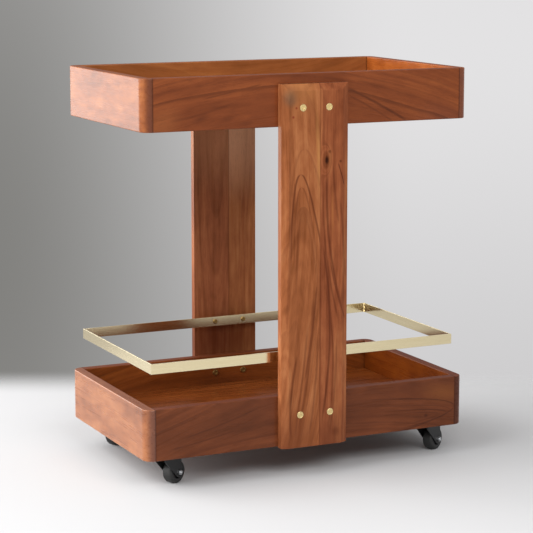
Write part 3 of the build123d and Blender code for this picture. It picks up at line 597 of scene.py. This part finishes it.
woodPieces = {
    "top_tray_front_board": {
        **redBrown, **alongX, "pith": (0.030, 0.050), "lean": (0.05, 0.02), "ring": 0.014, "seed": 1.0,
        "slope": 0.02, "bow": 0.45, "contrast": 0.17,
        "streaks": [
            streak(trayFace, (-0.250, 0.818), (-0.110, 0.845), bow=0.0, width=0.0026, depth=0.50),
            streak(trayFace, (-0.330, 0.775), (-0.170, 0.812), bow=0.02, width=0.0050, depth=0.25),
            streak(trayFace, (0.080, 0.832), (0.235, 0.752), bow=-0.01, width=0.0060, depth=0.60),
            streak(trayFace, (0.085, 0.815), (0.200, 0.752), bow=-0.01, width=0.0040, depth=0.35),
            streak(trayFace, (0.100, 0.850), (0.280, 0.800), bow=0.01, width=0.0060, depth=0.20)],
        "stainsAndPaintedShading": [
            ((-0.252, trayFace, 0.804), (0.030, 0.05, 0.012), "#4a2212", 0.45),
            ((-0.300, trayFace, 0.767), (0.026, 0.05, 0.010), "#4a2212", 0.40),
            ((-0.193, trayFace, 0.789), (0.024, 0.05, 0.010), "#4a2212", 0.42),
            ((-0.150, trayFace, 0.771), (0.022, 0.05, 0.009), "#4a2212", 0.38),
            ((-0.340, trayFace, 0.815), (0.060, 0.05, 0.050), "#9a5a32", 0.45),
            ((0.320, trayFace, 0.800), (0.090, 0.05, 0.060), "#6b3a2c", 0.45)]},
    "top_tray_back_board": {
        **hue("#7a4420", "#98592e", "#b2703c", "#5a2f18", "#5a3020"), **alongX,
        "pith": (-0.020, 0.070), "lean": (-0.04, 0.03), "ring": 0.013, "seed": 2.0, "bow": -0.4},
    "lower_tray_front_board": {
        **deepBrown, **alongX, "pith": (-0.040, 0.060), "lean": (0.03, -0.05), "ring": 0.012, "seed": 3.0,
        "slope": -0.10, "bow": 0.35, "contrast": 0.17,
        "arches": [
            arch(trayFace, (0.357, 0.112), lean=0.05, spread=0.0100, reach=0.26, width=0.0024, depth=0.60),
            arch(trayFace, (0.347, 0.104), lean=0.04, spread=0.0062, reach=0.20, width=0.0016, depth=0.40),
            arch(trayFace, (0.338, 0.099), lean=0.03, spread=0.0038, reach=0.16, width=0.0022, depth=0.55),
            arch(trayFace, (0.318, 0.098), lean=0.03, spread=0.0020, reach=0.10, width=0.0016, depth=0.45)],
        "streaks": [
            streak(trayFace, (-0.300, 0.110), (-0.120, 0.160), bow=0.01, width=0.0028, depth=0.40),
            streak(trayFace, (-0.330, 0.090), (-0.170, 0.118), bow=0.01, width=0.0030, depth=0.35)],
        "stainsAndPaintedShading": [
            ((0.330, trayFace, 0.150), (0.080, 0.05, 0.030), "#8a5128", 0.45),
            ((-0.340, trayFace, 0.130), (0.060, 0.05, 0.050), "#7d4529", 0.45)],
        "marks": [((0.286, trayFace, 0.098), (0.007, 0.02, 0.006), "#30130a", 0.55)]},
    "lower_tray_back_board": {
        **floorBrown, **alongX, "pith": (0.020, 0.080), "lean": (0.02, 0.04), "ring": 0.013, "seed": 4.0,
        "bow": 0.5},
    "top_tray_left_board": {
        **warmBrown, **alongY, "pith": (0.060, 0.010), "lean": (0.03, 0.05), "ring": 0.014, "seed": 5.0,
        "marks": [
            ((endFace, 0.090, 0.796), (0.02, 0.007, 0.006), "#6d3820", 0.45),
            ((endFace, 0.186, 0.791), (0.02, 0.008, 0.005), "#6d3820", 0.40),
            ((endFace, 0.121, 0.846), (0.02, 0.009, 0.006), "#6d3820", 0.45),
            ((endFace, -0.092, 0.840), (0.02, 0.006, 0.008), "#6d3820", 0.35)]},
    "top_tray_right_board": {
        **vividOrange, **alongY, "pith": (-0.050, -0.020), "lean": (0.05, -0.02), "ring": 0.013, "seed": 6.0},
    "lower_tray_left_board": {
        # paler than the top end board: partly its own tone, partly painted sheen
        **hue("#774429", "#995e3b", "#b3764c", "#45200f", "#5e3528"), **alongY,
        "pith": (0.050, 0.020), "lean": (-0.04, 0.03), "ring": 0.013, "seed": 7.0, "sheen": 0.42},
    "lower_tray_right_board": {
        **orangeInPaintedShade, **alongY, "pith": (-0.070, 0.000), "lean": (0.02, 0.04), "ring": 0.014, "seed": 8.0},
    "top_tray_floor": {
        **floorBrown, **flatPanel, "pith": (0.020, 0.090), "lean": (0.03, 0.03), "ring": 0.014, "seed": 9.0},
    "lower_tray_floor": {
        **floorBrown, **flatPanel, "pith": (0.050, 0.060), "lean": (0.04, -0.03), "ring": 0.013, "seed": 10.0,
        # its right half is darker: painted shade where less light falls
        "stainsAndPaintedShading": [((0.230, 0.0, trayFloor), (0.26, 0.30, 0.05), "#4a1c06", 0.55)]},
    "front_post_wide_stave": {
        **hue("#784224", "#985a36", "#b3744a", "#562818", "#5a3020"), **upright,
        "pith": (-0.002, 0.040), "lean": (0.01, 0.10), "ring": 0.013, "seed": 11.0,
        "slope": 0.069, "bow": -0.23, "ringDepth": 0.30,
        "arches": [
            arch(postFace, (-0.036, 0.655), lean=0.085, spread=0.0080, reach=0.26, width=0.0040, depth=0.72),
            arch(postFace, (-0.034, 0.628), lean=0.070, spread=0.0050, reach=0.22, width=0.0030, depth=0.40),
            arch(postFace, (-0.030, 0.575), lean=0.060, spread=0.0040, reach=0.24, width=0.0050, depth=0.35),
            arch(postFace, (-0.028, 0.708), lean=0.060, spread=0.0140, reach=0.20, width=0.0050, depth=0.22)],
        "streaks": [
            streak(postFace, (0.005, 0.430), (-0.026, 0.205), bow=0.01, width=0.0048, depth=0.60),
            streak(postFace, (-0.004, 0.400), (-0.042, 0.095), bow=0.03, width=0.0050, depth=0.50),
            streak(postFace, (-0.018, 0.340), (-0.050, 0.080), bow=0.01, width=0.0045, depth=0.45),
            streak(postFace, (-0.042, 0.275), (-0.057, 0.080), bow=-0.03, width=0.0042, depth=0.60),
            streak(postFace, (0.006, 0.310), (-0.016, 0.085), bow=0.02, width=0.0048, depth=0.45),
            streak(postFace, (-0.062, 0.720), (-0.067, 0.300), bow=0.01, width=0.0045, depth=0.30)],
        "stainsAndPaintedShading": [
            ((-0.054, postFace, 0.818), (0.022, 0.05, 0.026), "#5d4638", 0.80),
            ((-0.056, postFace, 0.812), (0.018, 0.05, 0.022), "#5d4638", 0.75),
            ((-0.036, postFace, 0.560), (0.022, 0.05, 0.070), "#7a4526", 0.40),
            ((-0.054, postFace, 0.456), (0.009, 0.05, 0.026), "#6f3d20", 0.45),
            ((-0.060, postFace, 0.367), (0.010, 0.05, 0.015), "#6f3d20", 0.45),
            ((-0.022, postFace, 0.176), (0.012, 0.05, 0.040), "#5e3018", 0.50),
            ((-0.034, postFace, 0.092), (0.008, 0.05, 0.034), "#5e3018", 0.50),
            ((0.003, postFace, 0.700), (0.007, 0.05, 0.130), "#c08850", 0.50),
            ((-0.030, postFace, 0.840), (0.060, 0.05, 0.080), "#bd7e4c", 0.50),
            # darker at the foot: painted shade
            ((0.000, postFace, 0.070), (0.100, 0.05, 0.130), "#703c24", 0.75)],
        "marks": [
            ((-0.0466, postFace, 0.7934), (0.0036, 0.01, 0.0036), "#7a2a1c", 0.80),
            ((-0.0536, postFace, 0.7747), (0.0036, 0.01, 0.0040), "#7a2a1c", 0.80)]},
    "front_post_narrow_stave": {
        **hue("#6d3720", "#905132", "#b07046", "#481e12", "#5e3528"), **upright,
        "pith": (0.030, 0.060), "lean": (-0.03, 0.03), "ring": 0.012, "seed": 12.0, "ringDepth": 0.30,
        "knots": [{"place": (0.0251, postFace, 0.682), "reach": (0.020, 0.05, 0.050), "swell": 0.020}],
        "streaks": [
            streak(postFace, (0.026, 0.665), (0.070, 0.335), bow=-0.060, width=0.0052, depth=0.60),
            streak(postFace, (0.018, 0.640), (0.060, 0.320), bow=-0.055, width=0.0042, depth=0.45),
            streak(postFace, (0.034, 0.470), (0.074, 0.335), bow=-0.020, width=0.0026, depth=0.60),
            streak(postFace, (0.014, 0.520), (0.012, 0.100), bow=0.085, width=0.0050, depth=0.60),
            streak(postFace, (0.022, 0.420), (0.028, 0.090), bow=0.070, width=0.0040, depth=0.45),
            streak(postFace, (0.050, 0.300), (0.032, 0.080), bow=0.020, width=0.0060, depth=0.40),
            streak(postFace, (0.058, 0.600), (0.073, 0.420), bow=0.000, width=0.0045, depth=0.40),
            streak(postFace, (0.040, 0.680), (0.055, 0.540), bow=-0.010, width=0.0040, depth=0.35),
            streak(postFace, (0.052, 0.676), (0.068, 0.626), bow=0.000, width=0.0024, depth=0.80)],
        "stainsAndPaintedShading": [
            ((0.025, postFace, 0.682), (0.015, 0.05, 0.030), "#5e3018", 0.70),
            ((0.038, postFace, 0.570), (0.005, 0.05, 0.080), "#b3703f", 0.40),
            ((0.049, postFace, 0.093), (0.015, 0.05, 0.015), "#4c2412", 0.60),
            # darker at the foot: painted shade
            ((0.040, postFace, 0.070), (0.080, 0.05, 0.120), "#683824", 0.65)],
        "marks": [
            ((0.0251, postFace, 0.682), (0.0062, 0.01, 0.0120), "#2b1209", 0.95),
            ((0.0320, postFace, 0.700), (0.0050, 0.01, 0.0050), "#4a2110", 0.60),
            ((0.0579, postFace, 0.678), (0.0042, 0.01, 0.0042), "#45200f", 0.70)]},
    "rear_post_wide_stave": {
        **hue("#713f26", "#905436", "#ac6c47", "#45200f", "#5e3528"), **upright,
        "pith": (0.010, -0.050), "lean": (0.02, 0.06), "ring": 0.012, "seed": 13.0, "ringDepth": 0.15,
        # darker low down as painted shade, lighter towards the top as painted light
        "stainsAndPaintedShading": [((0.0, rearFace, 0.205), (0.200, 0.10, 0.120), "#45190b", 0.70),
                   ((0.0, rearFace, 0.700), (0.200, 0.10, 0.170), "#cb8e67", 0.60)]},
    "rear_post_narrow_stave": {
        **hue("#82492c", "#a0633d", "#bb7e50", "#5a2f18", "#5a3020"), **upright,
        "pith": (-0.020, -0.060), "lean": (0.03, 0.02), "ring": 0.013, "seed": 14.0, "ringDepth": 0.20,
        # darker low down as painted shade, lighter towards the top as painted light
        "stainsAndPaintedShading": [((0.0, rearFace, 0.205), (0.200, 0.10, 0.120), "#45190b", 0.70),
                   ((0.0, rearFace, 0.700), (0.200, 0.10, 0.190), "#e6b08a", 0.80)]},
    "caster_blocks": {
        **redBrown, **flatPanel, "pith": (0.050, 0.100), "lean": (0.02, 0.03), "ring": 0.008, "seed": 15.0},
}
for name, piece in woodPieces.items():
    low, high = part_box(name)
    acacia = lacqueredAcacia("lacqueredAcacia" + name.title().replace("_", ""),
                             {**plainBoard, **piece, "centre": (low + high) / 2})
    finishWith(acacia, name)
print("wood finished")


# Metal, rubber and nylon

def grainedFinish(name, look):  # a fine grain shows in its colour, its gloss and its surface
    material, tree = newMaterial(name)
    place = addNode(tree, "ShaderNodeTexCoord").outputs["Object"]
    if "drawn" in look:
        place = addNode(tree, "ShaderNodeVectorMath", {"operation": "MULTIPLY", 1: look["drawn"]}, {0: place})
    grain = addNode(tree, "ShaderNodeTexNoise", look["grain"], {"Vector": place})
    colour = addNode(tree, "ShaderNodeMix",
                     {"data_type": "RGBA", mixA: hexColour(look["dark"]), mixB: hexColour(look["light"])},
                     {0: grain}).outputs[mixResult]
    gloss = addNode(tree, "ShaderNodeMapRange", span("To", look["roughness"]), {0: grain})
    bump = addNode(tree, "ShaderNodeBump", {"Strength": look["relief"], "Distance": grainHeight / 1000},
                   {"Height": grain})
    coat = addNode(tree, "ShaderNodeBsdfPrincipled", {"Metallic": look["metallic"]},
                   {"Base Color": colour, "Roughness": gloss, "Normal": bump})
    addNode(tree, "ShaderNodeOutputMaterial", {}, {"Surface": coat})
    return material


def evenGrain(size):  # in mm
    return {"Scale": 1000 / size, "Detail": 2.0}


grainHeight = 0.1  # mm, where the relief is 1
metal = {"metallic": 1.0, "relief": 0.12, "grain": {"Scale": 1.0, "Detail": 3.0, "Roughness": 0.6}}
rolledBrass = {**metal, "dark": "#d2bf93", "light": "#f4e8c4", "roughness": (0.10, 0.22)}
finishes = {  # drawn gives the grain's repeats in a metre along X, Y and Z. The IOR stays at the shader's 1.5
    # rolled bar, belt-brushed along its length: a soft glow in streaks, drawn 0.6 mm wide
    "brushedBrassAlongX": {**rolledBrass, "drawn": (12, 1800, 1800)},
    "brushedBrassAlongY": {**rolledBrass, "drawn": (1800, 12, 1800)},
    # turned on a lathe: a yellower glint with a grain of about 1 mm
    "turnedBrass": {**metal, "dark": "#c4a566", "light": "#f0dca6", "roughness": (0.20, 0.34),
                    "drawn": (900, 900, 900)},
    # melted into the corner: pale and smoothly rippled
    "meltedBrassBead": {**metal, "dark": "#d8c48e", "light": "#f3e6bd", "roughness": (0.16, 0.30),
                        "drawn": (600, 600, 200)},
    # plated and darkened: a dim brown gold
    "bronzedSteel": {**metal, "dark": "#66502f", "light": "#b0935c", "roughness": (0.26, 0.40),
                     "drawn": (900, 900, 900)},
    # polyester powder baked on bent steel: a soft black with a fine orange peel
    "blackPowderCoat": {"dark": "#0d0d0e", "light": "#1a1a1b", "roughness": (0.38, 0.52),
                        "grain": evenGrain(0.6), "relief": 0.25, "metallic": 0.0},
    # electroplated steel: bright, pale and faintly blue
    "brightZincPlate": {"dark": "#a9abae", "light": "#d6d8da", "roughness": (0.22, 0.34),
                        "grain": evenGrain(0.8), "relief": 0.10, "metallic": 1.0},
    # injection moulded: an even black, a little shinier than the tyre
    "mouldedBlackNylon": {"dark": "#141415", "light": "#1e1e20", "roughness": (0.40, 0.50),
                          "grain": evenGrain(0.5), "relief": 0.15, "metallic": 0.0},
    # moulded on the hub: a dull charcoal with no clear highlight
    "mouldedBlackRubber": {"dark": "#1a1a1a", "light": "#262625", "roughness": (0.55, 0.70),
                           "grain": evenGrain(0.5), "relief": 0.20, "metallic": 0.0},
    # turned and left bare: pale and dry
    "bareBeechDowel": {"dark": "#b98d5e", "light": "#d3aa7c", "roughness": (0.55, 0.70),
                       "grain": evenGrain(1.0), "relief": 0.20, "metallic": 0.0},
}
made = {name: grainedFinish(name, look) for name, look in finishes.items()}
finishWith(made["brushedBrassAlongX"], "rail_front_bar", "rail_back_bar")
finishWith(made["brushedBrassAlongY"], "rail_left_bar", "rail_right_bar")
finishWith(made["turnedBrass"], "post_inserts", "rail_spacers")
for corner in ("front_left", "front_right", "rear_left", "rear_right"):
    finishWith(made["blackPowderCoat"], f"{corner}_fork", f"{corner}_caster_plate")
    finishWith(made["brightZincPlate"], f"{corner}_axle", f"{corner}_axle_nut", f"{corner}_axle_sleeve")
    finishWith(made["mouldedBlackNylon"], f"{corner}_wheel_hub")
    finishWith(made["mouldedBlackRubber"], f"{corner}_tyre")
finishWith(made["brightZincPlate"], "kingpins", "swivel_races")
finishWith(made["bareBeechDowel"], "top_tray_dowels", "lower_tray_dowels")
print("metal, rubber and nylon finished")


# Fasteners and weld beads, each shaped once and set out by a Geometry Nodes tree. A shape is a row of
# rings: the outline, its size in millimetres and its height in millimetres.

armWidth = 0.22  # half the width of a cross recess's arm, as a share of its length


def outline(kind, size, i, count):  # one point of a ring: round, a hexagon, a cross recess or a quarter disc
    angle = 2 * pi * i / count
    if kind == "round":
        reach = size
    elif kind == "hex":  # size across the flats
        reach = size / 2 / cos((angle % (pi / 3)) - pi / 6)
    elif kind == "cross":  # size is the length of one arm from the middle
        turn = (angle + pi / 4) % (pi / 2) - pi / 4
        wide = size * armWidth
        if abs(sin(turn)) * size <= wide * cos(turn):
            reach = size / cos(turn)
        else:
            reach = wide / abs(sin(turn))
    else:  # quarter: the bead's face is a quarter circle, its other two sides lie on the bars
        third = count // 3
        if i < third:
            return size * i / third, 0.0
        if i < 2 * third:
            turn = pi / 2 * (i - third) / third
            return size * cos(turn), size * sin(turn)
        return 0.0, size * (count - i) / third
    return reach * cos(angle), reach * sin(angle)


def ringSolid(name, rings, count=48):  # skins a row of rings and closes both ends
    body = bmesh.new()
    rows = []
    for kind, size, height in rings:
        points = [outline(kind, size, i, count) for i in range(count)]
        rows.append([body.verts.new((x / 1000, y / 1000, height / 1000)) for x, y in points])
    for lower, upper in zip(rows, rows[1:]):
        for i in range(count):
            j = (i + 1) % count
            body.faces.new((lower[i], lower[j], upper[j], upper[i]))
    body.faces.new(list(reversed(rows[0])))
    body.faces.new(rows[-1])
    bmesh.ops.recalc_face_normals(body, faces=body.faces)
    mesh = bpy.data.meshes.new(name)
    body.to_mesh(mesh)
    body.free()
    return mesh


def growTree(name, sizes):  # a tree that is ready for its nodes: the shape comes in, the set comes out
    tree = bpy.data.node_groups.new(name, "GeometryNodeTree")
    tree.interface.new_socket("shape", in_out="INPUT", socket_type="NodeSocketGeometry")
    for size in sizes:
        tree.interface.new_socket(size, in_out="INPUT", socket_type="NodeSocketFloat")
    tree.interface.new_socket("finish", in_out="INPUT", socket_type="NodeSocketMaterial")
    tree.interface.new_socket("set", in_out="OUTPUT", socket_type="NodeSocketGeometry")
    return tree, addNode(tree, "NodeGroupInput").outputs


def closeTree(tree, given, copies):  # real geometry with its finish, because the export drops instances
    solid = addNode(tree, "GeometryNodeRealizeInstances", {}, {0: copies})
    finished = addNode(tree, "GeometryNodeSetMaterial", {}, {"Geometry": solid, "Material": given["finish"]})
    addNode(tree, "NodeGroupOutput", {}, {0: finished})
    return tree


def cornerPoints(tree, spanX, spanY, height):  # four points at the corners of a rectangle
    grid = addNode(tree, "GeometryNodeMeshGrid", {"Vertices X": 2, "Vertices Y": 2},
                   {"Size X": spanX, "Size Y": spanY})
    lift = addNode(tree, "ShaderNodeCombineXYZ", {}, {"Z": height})
    return addNode(tree, "GeometryNodeSetPosition", {}, {"Geometry": grid.outputs["Mesh"], "Offset": lift})


def sidewaysTree(name, rows):  # heads that face out of, or into, the cart on its front and back
    sizes = [row + size for row in rows for size in ("SpanX", "SpanY", "Height")]
    tree, given = growTree(name, [*sizes, "facing"])
    points = addNode(tree, "GeometryNodeJoinGeometry")
    for row in rows:
        corners = cornerPoints(tree, given[row + "SpanX"], given[row + "SpanY"], given[row + "Height"])
        tree.links.new(corners.outputs[0], points.inputs[0])
    place = addNode(tree, "ShaderNodeSeparateXYZ", {}, {0: addNode(tree, "GeometryNodeInputPosition")})
    side = addNode(tree, "ShaderNodeMath", {"operation": "SIGN"}, {0: place.outputs["Y"]})
    side = addNode(tree, "ShaderNodeMath", {"operation": "MULTIPLY"}, {0: side, 1: given["facing"]})
    turn = addNode(tree, "ShaderNodeMath", {"operation": "MULTIPLY", 1: -pi / 2}, {0: side})
    turn = addNode(tree, "ShaderNodeCombineXYZ", {}, {"X": turn})
    copies = addNode(tree, "GeometryNodeInstanceOnPoints", {},
                     {"Points": points, "Instance": given["shape"], "Rotation": turn})
    return closeTree(tree, given, copies)


def plateScrewTree():  # four screws in each of four plates, heads down
    tree, given = growTree("plateScrews", ["plateSpanX", "plateSpanY", "holeSpanX", "holeSpanY", "height"])
    plates = cornerPoints(tree, given["plateSpanX"], given["plateSpanY"], given["height"])
    holes = addNode(tree, "GeometryNodeMeshGrid", {"Vertices X": 2, "Vertices Y": 2},
                    {"Size X": given["holeSpanX"], "Size Y": given["holeSpanY"]})
    points = addNode(tree, "GeometryNodeInstanceOnPoints", {},
                     {"Points": plates, "Instance": holes.outputs["Mesh"]})
    points = addNode(tree, "GeometryNodeRealizeInstances", {}, {0: points})
    copies = addNode(tree, "GeometryNodeInstanceOnPoints", {"Rotation": (pi, 0, 0)},
                     {"Points": points, "Instance": given["shape"]})
    return closeTree(tree, given, copies)


def weldTree():  # a rippled bead up each inside corner of the rail
    tree, given = growTree("cornerWelds", ["spanX", "spanY", "height", "pitch", "ripple"])
    start = addNode(tree, "GeometryNodeInputPosition")
    place = addNode(tree, "ShaderNodeSeparateXYZ", {}, {0: start})
    wave = addNode(tree, "ShaderNodeMath", {"operation": "DIVIDE"},
                   {0: place.outputs["Z"], 1: given["pitch"]})
    wave = addNode(tree, "ShaderNodeMath", {"operation": "MULTIPLY", 1: pi}, {0: wave})
    wave = addNode(tree, "ShaderNodeMath", {"operation": "SINE"}, {0: wave})
    wave = addNode(tree, "ShaderNodeMath", {"operation": "ABSOLUTE"}, {0: wave})
    back = addNode(tree, "ShaderNodeMath", {"operation": "SUBTRACT", 0: 1.0}, {1: wave})
    thin = addNode(tree, "ShaderNodeMath", {"operation": "MULTIPLY"}, {0: back, 1: given["ripple"]})
    thin = addNode(tree, "ShaderNodeMath", {"operation": "SUBTRACT", 0: 1.0}, {1: thin})
    scale = addNode(tree, "ShaderNodeCombineXYZ", {"Z": 1.0}, {"X": thin, "Y": thin})
    waved = addNode(tree, "ShaderNodeVectorMath", {"operation": "MULTIPLY"}, {0: start, 1: scale})
    bead = addNode(tree, "GeometryNodeSetPosition", {}, {"Geometry": given["shape"], "Position": waved})
    points = cornerPoints(tree, given["spanX"], given["spanY"], given["height"])
    corner = addNode(tree, "ShaderNodeSeparateXYZ", {}, {0: start}).outputs
    signs = [addNode(tree, "ShaderNodeMath", {"operation": "SIGN"}, {0: corner[axis]}) for axis in ("Y", "X")]
    turn = addNode(tree, "ShaderNodeMath", {"operation": "ARCTAN2"}, {0: signs[0], 1: signs[1]})
    # the bead fills the quarter from +X to +Y, so it turns to face the rail's middle
    turn = addNode(tree, "ShaderNodeMath", {"operation": "ADD", 1: pi * 3 / 4}, {0: turn})
    turn = addNode(tree, "ShaderNodeCombineXYZ", {}, {"Z": turn})
    copies = addNode(tree, "GeometryNodeInstanceOnPoints", {},
                     {"Points": points, "Instance": bead, "Rotation": turn})
    return closeTree(tree, given, copies)


def setOut(name, mesh, tree, values, node):  # runs the tree and keeps its result as one plain piece
    piece = bpy.data.objects.new(name, mesh)
    scene.collection.objects.link(piece)
    modifier = piece.modifiers.new("setOut", "NODES")
    modifier.node_group = tree
    for item in tree.interface.items_tree:
        if item.in_out == "INPUT" and item.name in values:
            modifier[item.identifier] = values[item.name]
    result = bpy.data.meshes.new_from_object(piece.evaluated_get(bpy.context.evaluated_depsgraph_get()))
    piece.modifiers.clear()
    piece.data = result
    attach(piece, "frame")
    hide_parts(node)


# a seat is how far the head's seat lies in front of and behind the cart's middle
postBolts = {"upperSpanX": 0.061, "upperHeight": 0.794, "lowerSpanX": 0.071, "lowerHeight": 0.139}
capNut = {**postBolts, "seat": 0.2433, "facing": 1.0}
capShape = ringSolid("capNut", [
    ("round", 3.05, -6.3), ("round", 3.05, -20.0), ("round", 3.9, -20.0), ("round", 4.3, -19.6),
    ("round", 4.3, 0.0), ("round", 7.5, 0.0), ("round", 7.5, 1.15), ("round", 7.42, 1.38),
    ("round", 7.2, 1.54), ("round", 6.9, 1.60), ("round", 6.3, 1.60), ("round", 6.15, 1.50),
    ("round", 6.0, 1.60), ("round", 3.2, 1.60), ("hex", 4.5, 1.58), ("hex", 4.0, 1.35), ("hex", 4.0, 0.75),
    ("round", 0.9, 0.70)])
trayBolt = {**postBolts, "seat": 0.2005, "facing": -1.0}
boltShape = ringSolid("trayBolt", [
    ("round", 2.4, -36.0), ("round", 3.0, -35.4), ("round", 3.0, 0.0), ("round", 7.0, 0.0),
    ("round", 7.0, 1.2), ("round", 6.9, 1.55), ("round", 6.6, 1.85), ("round", 6.1, 2.0),
    ("round", 3.6, 2.0), ("hex", 5.6, 1.98), ("hex", 5.0, 1.7), ("hex", 5.0, 0.55), ("round", 1.2, 0.50)])
railScrew = {"onlySpanX": 0.071, "onlyHeight": 0.261, "seat": 0.200, "facing": -1.0}
screwShape = ringSolid("railScrew", [
    ("round", 2.4, -37.5), ("round", 3.0, -36.9), ("round", 3.0, 0.0), ("round", 5.5, 0.0),
    ("round", 5.5, 1.2), ("round", 5.36, 1.9), ("round", 4.97, 2.47), ("round", 4.4, 2.86),
    ("round", 3.7, 3.0), ("round", 2.9, 3.0), ("hex", 4.5, 2.98), ("hex", 4.0, 2.7), ("hex", 4.0, 1.0),
    ("round", 0.9, 0.9)])
plateScrew = {"plateSpanX": 0.634, "plateSpanY": 0.341, "holeSpanX": 0.046, "holeSpanY": 0.036,
              "height": 0.0735, "sides": 64}
woodScrewShape = ringSolid("plateScrew", [
    ("round", 0.5, -20.0), ("round", 1.6, -16.5), ("round", 2.25, -14.5), ("round", 2.25, 0.0),
    ("round", 4.5, 0.0), ("round", 4.5, 0.8), ("round", 4.3, 1.4), ("round", 3.8, 1.85),
    ("round", 3.1, 2.1), ("round", 2.6, 2.2), ("cross", 2.1, 2.15), ("cross", 1.7, 1.2),
    ("round", 0.3, 0.5)], plateScrew["sides"])
weldBead = {"spanX": 0.714, "spanY": 0.400, "height": 0.2504, "pitch": 0.0016, "ripple": 0.16,
            "radius": 1.95, "length": 21.2, "steps": 104, "sides": 18}  # radius and length in mm
beadShape = ringSolid("weldBead", [
    ("quarter", weldBead["radius"], weldBead["length"] * i / weldBead["steps"])
    for i in range(weldBead["steps"] + 1)], weldBead["sides"])

twoRows = sidewaysTree("twoRowsSideways", ["upper", "lower"])
oneRow = sidewaysTree("oneRowSideways", ["only"])
for name, shape, size, tree, rows, finish, node in (
        ("capNutSet", capShape, capNut, twoRows, ("upper", "lower"), "turnedBrass", "cap_nuts"),
        ("trayBoltSet", boltShape, trayBolt, twoRows, ("upper", "lower"), "bronzedSteel", "tray_bolts"),
        ("railScrewSet", screwShape, railScrew, oneRow, ("only",), "bronzedSteel", "rail_screws")):
    spans = {row + "SpanY": 2 * size["seat"] for row in rows}
    setOut(name, shape, tree, {**size, **spans, "finish": made[finish]}, node)
setOut("plateScrewSet", woodScrewShape, plateScrewTree(),
       {**plateScrew, "finish": made["brightZincPlate"]}, "plate_screws")
setOut("weldBeadSet", beadShape, weldTree(),
       {**weldBead, "finish": made["meltedBrassBead"]}, "rail_corner_welds")
print("fasteners and welds set out")
